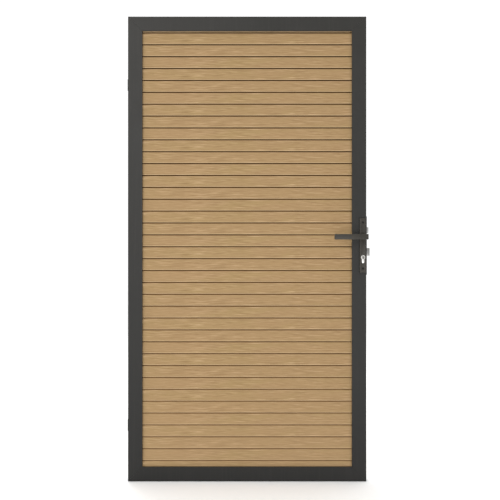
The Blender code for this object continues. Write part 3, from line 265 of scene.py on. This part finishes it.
def makeBoardGrain(name, settings):
    material, tree, place = startMaterial(name)
    low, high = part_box("board_01")
    face = (high.y - low.y) / 2
    firstGroove = low.z - settings["lipRise"] - settings["opening"]     # its lower lip, under board_01
    parts = addNode(tree, "ShaderNodeSeparateXYZ", {"Vector": place})
    x, y, z = (parts.outputs[letter] for letter in "XYZ")

    # the film repeats on every board, so the grain is drawn on the height inside one board
    above = addNode(tree, "ShaderNodeMath", {0: z, 1: firstGroove}, {"operation": "SUBTRACT"})
    inBoard = addNode(tree, "ShaderNodeMath", {
        0: above, 1: settings["cover"]}, {"operation": "FLOORED_MODULO"})
    printed = addNode(tree, "ShaderNodeCombineXYZ", {"X": x, "Y": y, "Z": inBoard})
    drawn = {}
    for pattern, (long, tall, detail, distortion) in settings["patterns"].items():
        stretched = addNode(tree, "ShaderNodeVectorMath", {
            0: printed, 1: (perMillimetre(long), perMillimetre(tall), perMillimetre(tall))},
            {"operation": "MULTIPLY"})
        drawn[pattern] = addNode(tree, "ShaderNodeTexNoise", {
            "Vector": stretched, "Scale": 1.0, "Detail": detail, "Roughness": 0.55,
            "Distortion": distortion})
    busy = addNode(tree, "ShaderNodeMapRange", {
        "Value": drawn["cluster"], "From Min": settings["clusterStops"][0],
        "From Max": settings["clusterStops"][1]})
    tone = addNode(tree, "ShaderNodeValToRGB", {"Fac": drawn["tint"]}, stops=[
        (0.35, settings["bodyOlive"]), (0.50, settings["body"]), (0.65, settings["bodyWarm"])])
    for pattern, start, full, amount, colour, clustered in settings["layers"]:
        share = addNode(tree, "ShaderNodeMapRange", {
            "Value": drawn[pattern], "From Min": start, "From Max": full, "To Min": 0.0, "To Max": amount})
        if clustered:
            share = addNode(tree, "ShaderNodeMath", {0: share, 1: busy}, {"operation": "MULTIPLY"})
        tone = addNode(tree, "ShaderNodeMix", {
            "Factor": share, 6: tone, 7: fromHex(settings[colour])}, {"data_type": "RGBA"})

    # painted highlight on the rib's lower edge, from its corner at the groove up to the height of the lip
    inRib = addNode(tree, "ShaderNodeMath", {
        0: above, 1: settings["pitch"]}, {"operation": "FLOORED_MODULO"})
    overGroove = addNode(tree, "ShaderNodeMath", {
        0: inRib, 1: settings["opening"]}, {"operation": "SUBTRACT"})
    underTop = addNode(tree, "ShaderNodeMapRange", {
        "Value": overGroove, "From Min": settings["lipTall"], "From Max": settings["lipFull"],
        "To Min": 0.0, "To Max": settings["lipAmount"]})
    overFoot = addNode(tree, "ShaderNodeMapRange", {
        "Value": overGroove, "From Min": -settings["lipUnder"], "From Max": 0.0})
    lip = addNode(tree, "ShaderNodeMath", {0: underTop, 1: overFoot}, {"operation": "MULTIPLY"})
    # painted light: the face of the boards paler towards the bottom
    paintedLowLight = addNode(tree, "ShaderNodeMapRange", {
        "Value": z, "From Min": settings["dustTop"], "From Max": leafLow.z,
        "To Min": 0.0, "To Max": settings["dustOnFace"]})
    for share, colour in ((lip, "lip"), (paintedLowLight, "dust")):
        tone = addNode(tree, "ShaderNodeMix", {
            "Factor": share, 6: tone, 7: fromHex(settings[colour])}, {"data_type": "RGBA"})

    # painted shade inside a groove, darker with depth and darkest under the overhang
    outward = addNode(tree, "ShaderNodeMath", {0: y}, {"operation": "ABSOLUTE"})
    depth = addNode(tree, "ShaderNodeMath", {0: face, 1: outward}, {"operation": "SUBTRACT"})
    shade = addNode(tree, "ShaderNodeMapRange", {
        "Value": depth, "From Min": settings["grooveFrom"], "From Max": settings["grooveDeep"]})
    hanging = addNode(tree, "ShaderNodeMapRange", {
        "Value": overGroove, "From Min": -settings["hangingFrom"], "From Max": -settings["hangingFull"]})
    # painted light: the grooves' painted shade lifted towards the bottom
    paintedGrooveLight = addNode(tree, "ShaderNodeMapRange", {
        "Value": z, "From Min": settings["dustTopInGrooves"], "From Max": leafLow.z,
        "To Min": 0.0, "To Max": settings["dustInGrooves"]})
    grooveTone = addNode(tree, "ShaderNodeMix", {
        "Factor": hanging, 6: fromHex(settings["grooveFloor"]), 7: fromHex(settings["grooveShade"])},
        {"data_type": "RGBA"})
    grooveTone = addNode(tree, "ShaderNodeMix", {
        "Factor": paintedGrooveLight, 6: grooveTone, 7: fromHex(settings["dust"])}, {"data_type": "RGBA"})
    tone = addNode(tree, "ShaderNodeMix", {
        "Factor": shade, 6: tone, 7: grooveTone}, {"data_type": "RGBA"})

    rough = addNode(tree, "ShaderNodeMapRange", {
        "Value": drawn["streak"], "From Min": 0.3, "From Max": 0.7,
        "To Min": settings["roughness"][0], "To Max": settings["roughness"][1]})
    relief = addNode(tree, "ShaderNodeMath", {
        0: drawn["fibre"], 1: 0.5, 2: drawn["streak"]}, {"operation": "MULTIPLY_ADD"})
    bump = addNode(tree, "ShaderNodeBump", {
        "Height": relief, "Strength": 0.5, "Distance": settings["reliefDeep"]})
    shader = addNode(tree, "ShaderNodeBsdfPrincipled", {
        "Base Color": tone, "Roughness": rough, "Normal": bump, "Specular IOR Level": settings["specular"]})
    addNode(tree, "ShaderNodeOutputMaterial", {"Surface": shader})
    return material


# bare metals, with the size in mm of the marks that their making leaves, across and up
bareMetals = {
    # electroplated and brushed, gives a bright even face with fine lines
    "satinNickel": {"dark": "#CFCDCA", "light": "#F2F0ED", "roughness": (0.28, 0.42), "lines": (40, 0.9)},
    # the plug is drawn brass under thinner nickel and rubbed by the key, so it is duller
    "rubbedNickel": {"dark": "#7D7B77", "light": "#A19F9A", "roughness": (0.34, 0.50), "lines": (6, 0.8)},
    # zinc alloy die casting, nickel plated and barrel polished, a mid grey
    "platedBolt": {"dark": "#8A8988", "light": "#A4A3A1", "roughness": (0.30, 0.42), "lines": (14, 2)},
    # the same casting under thicker plate, a paler grey
    "castBolt": {"dark": "#B3B2B0", "light": "#CDCCCA", "roughness": (0.30, 0.42), "lines": (14, 2)},
    # zinc plated and blue passivated sheet and screws, a cloudy grey with a cool cast
    "zincPlate": {"dark": "#8D949B", "light": "#B9BEC3", "roughness": (0.32, 0.50), "lines": (9, 6)},
    # black oxide on screws, almost black with a dull shine
    "blackOxide": {"dark": "#262523", "light": "#343331", "roughness": (0.40, 0.55), "lines": (5, 4)},
    # centreless ground stainless bar, fine rings round the pin
    "groundStainless": {"dark": "#A7A6A3", "light": "#CFCECA", "roughness": (0.20, 0.32), "lines": (30, 0.8)},
    # turned brass, warm with tool marks
    "turnedBrass": {"dark": "#A98745", "light": "#D2B064", "roughness": (0.24, 0.38), "lines": (20, 0.8)},
    # pressure die cast aluminium, grey and slightly grainy
    "dieCastAluminium": {"dark": "#8E9092", "light": "#B4B6B8", "roughness": (0.42, 0.60), "lines": (4, 4)},
    # oil tempered spring wire, dark straw grey
    "springWire": {"dark": "#4C4B4A", "light": "#757370", "roughness": (0.28, 0.42), "lines": (12, 1.2)},
}
metalCloud = 18              # mm, soft patches in the plating
metalLinesDeep = 0.00003


def makeBareMetal(name):
    settings = bareMetals[name]
    material, tree, place = startMaterial(name)
    across, up = (perMillimetre(size) for size in settings["lines"])
    drawn = addNode(tree, "ShaderNodeVectorMath", {
        0: place, 1: (across, across, up)}, {"operation": "MULTIPLY"})
    lines = addNode(tree, "ShaderNodeTexNoise", {
        "Vector": drawn, "Scale": 1.0, "Detail": 3.0, "Roughness": 0.6})
    cloud = addNode(tree, "ShaderNodeTexNoise", {
        "Vector": place, "Scale": perMillimetre(metalCloud), "Detail": 3.0})
    both = addNode(tree, "ShaderNodeMath", {0: lines, 1: cloud}, {"operation": "ADD"})
    half = addNode(tree, "ShaderNodeMath", {0: both, 1: 0.5}, {"operation": "MULTIPLY"})
    tone = addNode(tree, "ShaderNodeValToRGB", {"Fac": half}, stops=[
        (0.38, settings["dark"]), (0.62, settings["light"])])
    rough = addNode(tree, "ShaderNodeMapRange", {
        "Value": half, "From Min": 0.35, "From Max": 0.65,
        "To Min": settings["roughness"][0], "To Max": settings["roughness"][1]})
    bump = addNode(tree, "ShaderNodeBump", {
        "Height": lines, "Strength": 0.4, "Distance": metalLinesDeep})
    shader = addNode(tree, "ShaderNodeBsdfPrincipled", {
        "Base Color": tone, "Metallic": 1.0, "Roughness": rough, "Normal": bump})
    addNode(tree, "ShaderNodeOutputMaterial", {"Surface": shader})
    return material


# the same coat on other pieces: cut plate is more even, and castings are smooth and handled and get no
# painted top light
hingeCoat = {**powderCoat, "cloud": 60, "peelDeep": 0.0001}
faceplateCoat = {**powderCoat, "cloud": 80}
fittingCoat = {
    **powderCoat,
    "dark": "#302D28",
    "light": "#3A3630",
    "chalkTop": 0.0,
    "cloud": 45,
    "peel": 2.0,
    "peelDeep": 0.00002,
    "roughness": (0.34, 0.46),
}

finishes = {
    "frame_coating": makePowderCoat("powderCoatAnthracite", powderCoat),
    "hinge_coating": makePowderCoat("powderCoatHinge", hingeCoat),
    "faceplate_coating": makePowderCoat("powderCoatFaceplate", faceplateCoat),
    "fitting_coating": makePowderCoat("powderCoatFitting", fittingCoat),
    "board": makeBoardGrain("printedBoardGrain", boardGrain),
    "nickel": makeBareMetal("satinNickel"),
    "zinc_steel": makeBareMetal("zincPlate"),
    "dark_screw": makeBareMetal("blackOxide"),
    "stainless": makeBareMetal("groundStainless"),
    "brass_washer": makeBareMetal("turnedBrass"),
    "cast_aluminium": makeBareMetal("dieCastAluminium"),
    "spring_steel": makeBareMetal("springWire"),
}
plugFinish = makeBareMetal("rubbedNickel")
ownFinish = {                # nodes that share a slot but not a surface
    "latch_bolt": makeBareMetal("castBolt"),
    "deadbolt": makeBareMetal("platedBolt"),
    "cylinder_plug_outside": plugFinish,
    "cylinder_plug_inside": plugFinish,
}

for name, slot in slotOf.items():
    surfaces = nodes[name].data.materials
    surfaces.clear()
    surfaces.append(ownFinish.get(name, finishes[slot]))
print("CAD nodes finished:", len(slotOf))


def takeOver(name, ending, shape):
    # the finished shape becomes a piece in its CAD node's place, slot and body
    mesh = bpy.data.meshes.new(name + ending)
    shape.to_mesh(mesh)
    shape.free()
    mesh.shade_smooth()
    mesh.materials.append(nodes[name].data.materials[0])
    piece = bpy.data.objects.new(name + ending, mesh)
    bpy.context.scene.collection.objects.link(piece)
    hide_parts(name)
    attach(piece, nodes[name]["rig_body"])
    return piece


# fittings whose edges are tumbled or linished after machining, each made from a merged copy of its CAD solid
easedEdges = {
    "merge": 0.000002,
    "flat": 0.5,             # degrees, faces closer than this are one face
    "sharpest": 28,          # degrees between faces, an edge flatter than this is left alone
    "steps": 3,
    "radius": {              # mm
        "lever_outside": 0.6,
        "lever_inside": 0.6,
        "backplate_outside": 0.5,
        "backplate_inside": 0.5,
        "lock_faceplate": 0.4,
        "latch_bolt": 0.3,
        "deadbolt": 0.3,
        "cylinder_body": 0.3,
        "cylinder_plug_outside": 0.25,
        "cylinder_plug_inside": 0.25,
        "hinge_post_half_lower": 0.7,
        "hinge_post_half_upper": 0.7,
        "hinge_gate_half_lower": 0.7,
        "hinge_gate_half_upper": 0.7,
    },
}


def easeFitting(name, settings):
    limit = math.radians(settings["sharpest"])
    shape = bmesh.new()
    shape.from_mesh(nodes[name].data)
    bmesh.ops.remove_doubles(shape, verts=shape.verts, dist=settings["merge"])
    bmesh.ops.dissolve_limit(
        shape, angle_limit=math.radians(settings["flat"]), use_dissolve_boundaries=False,
        verts=shape.verts, edges=shape.edges)
    crisp = [edge for edge in shape.edges
             if len(edge.link_faces) == 2 and edge.is_convex and edge.calc_face_angle() > limit]
    bmesh.ops.bevel(
        shape, geom=crisp, offset=settings["radius"][name] / 1000, offset_type="OFFSET",
        segments=settings["steps"], profile=0.5, affect="EDGES", material=-1, clamp_overlap=True)
    bmesh.ops.triangulate(shape, faces=[face for face in shape.faces if len(face.verts) > 4])
    takeOver(name, "_eased", shape).data.set_sharp_from_angle(angle=limit)


for name in easedEdges["radius"]:
    easeFitting(name, easedEdges)
print("fittings eased:", len(easedEdges["radius"]))

# compression springs in the lock case, wound from round wire
springs = {
    "wire": 0.001,
    "wireSides": 10,
    "turns": 8,
    "stepsPerTurn": 24,
    "wound": {               # which way it lies, and how far its joint presses it
        "latch_spring": {"along": 0, "joint": "latch_slide", "given": 0.0090},
        "handle_return_spring": {"along": 2, "joint": "handle_turn", "given": 0.0083},
    },
}


def windSpring(name, settings):
    own = settings["wound"][name]
    low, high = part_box(name)
    along = Vector((0, 0, 0))
    along[own["along"]] = 1
    outward = Vector((0, 1, 0))
    wire = settings["wire"] / 2
    length = (high - low)[own["along"]]
    radius = (high.y - low.y) / 2 - wire
    foot = (low + high) / 2
    foot[own["along"]] = low[own["along"]] + wire
    steps = settings["turns"] * settings["stepsPerTurn"]
    shape = bmesh.new()
    ring = bmesh.ops.create_circle(shape, cap_ends=True, segments=settings["wireSides"], radius=wire)["verts"]
    turn = along.cross(outward).to_track_quat("Z", "Y").to_matrix()
    bmesh.ops.rotate(shape, verts=ring, cent=(0, 0, 0), matrix=turn)
    bmesh.ops.translate(shape, verts=ring, vec=foot + outward * radius)
    bmesh.ops.spin(
        shape, geom=shape.verts[:] + shape.edges[:] + shape.faces[:], cent=foot, axis=along,
        dvec=along * (length - 2 * wire) / steps, angle=2 * math.pi * settings["turns"], steps=steps,
        use_merge=False, use_duplicate=False)
    bmesh.ops.recalc_face_normals(shape, faces=shape.faces)
    piece = takeOver(name, "_wound", shape)
    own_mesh(piece)


for name in springs["wound"]:
    windSpring(name, springs)
print("springs wound:", len(springs["wound"]))

studio = {
    "floorReach": 14.0,
    "floorDrop": 0.001,      # keeps the floor just under the foot of the leaf
    "floorColour": "#FAFAF9",
    "floorRoughness": (0.75, 0.9),
    "backdrop": 1.1,         # the white wall behind the gate
    "room": 0.70,            # the rest of the room
    "backdropEdge": (0.45, 0.85),
    "overhead": 1.2,         # soft light from straight above, which keeps the floor white
    "overheadSpread": 50,    # degrees
    "softLights": {
        "key": {"place": (-1.7, -3.4, 2.4), "size": 1.8, "power": 42},
        "low": {"place": (0.1, -2.4, 0.2), "size": 1.2, "power": 14},
        "back": {"place": (-1.5, 3.4, 3.0), "size": 2.6, "power": 70},
    },
}


def makeFloor(settings):
    shape = bmesh.new()
    bmesh.ops.create_grid(shape, x_segments=1, y_segments=1, size=settings["floorReach"])
    bmesh.ops.translate(shape, verts=shape.verts, vec=(0, 0, leafLow.z - settings["floorDrop"]))
    mesh = bpy.data.meshes.new("studioFloor")
    shape.to_mesh(mesh)
    shape.free()
    floor = bpy.data.objects.new("studioFloor", mesh)
    bpy.context.scene.collection.objects.link(floor)
    material, tree, place = startMaterial("paintedStudioFloor")
    mottle = addNode(tree, "ShaderNodeTexNoise", {"Vector": place, "Scale": 3.0, "Detail": 3.0})
    rough = addNode(tree, "ShaderNodeMapRange", {
        "Value": mottle, "To Min": settings["floorRoughness"][0], "To Max": settings["floorRoughness"][1]})
    shader = addNode(tree, "ShaderNodeBsdfPrincipled", {
        "Base Color": fromHex(settings["floorColour"]), "Roughness": rough, "Specular IOR Level": 0.1})
    addNode(tree, "ShaderNodeOutputMaterial", {"Surface": shader})
    mesh.materials.append(material)


def makeRoom(settings):
    # an even room, with a white wall on the far side of the gate
    world = bpy.data.worlds.new("paleStudio")
    world.use_nodes = True
    tree = world.node_tree
    direction = addNode(tree, "ShaderNodeTexCoord").outputs["Generated"]
    away = addNode(tree, "ShaderNodeSeparateXYZ", {"Vector": direction}).outputs["Y"]
    strength = addNode(tree, "ShaderNodeMapRange", {
        "Value": away, "From Min": settings["backdropEdge"][0], "From Max": settings["backdropEdge"][1],
        "To Min": settings["room"], "To Max": settings["backdrop"]})
    background = tree.nodes["Background"]
    background.inputs["Color"].default_value = (1, 1, 1, 1)
    tree.links.new(strength.outputs["Result"], background.inputs["Strength"])
    bpy.context.scene.world = world


def makeOverhead(settings):
    data = bpy.data.lights.new("overheadLight", "SUN")
    data.energy = settings["overhead"]
    data.angle = math.radians(settings["overheadSpread"])
    light = bpy.data.objects.new("overheadLight", data)
    bpy.context.scene.collection.objects.link(light)
    light.location = (0, 0, 2 * leafTall)


def makeSoftLight(name, settings):
    data = bpy.data.lights.new(name, "AREA")
    data.shape = "SQUARE"
    data.size = settings["size"]
    data.energy = settings["power"]
    light = bpy.data.objects.new(name, data)
    bpy.context.scene.collection.objects.link(light)
    light.location = settings["place"]
    light.visible_camera = False
    aim = Vector((0, 0, leafTall / 2)) - light.location
    light.rotation_euler = aim.to_track_quat("-Z", "Y").to_euler()


makeFloor(studio)
makeRoom(studio)
makeOverhead(studio)
for name, light in studio["softLights"].items():
    makeSoftLight(name + "Light", light)
print("studio lit:", len(studio["softLights"]) + 1, "lights")
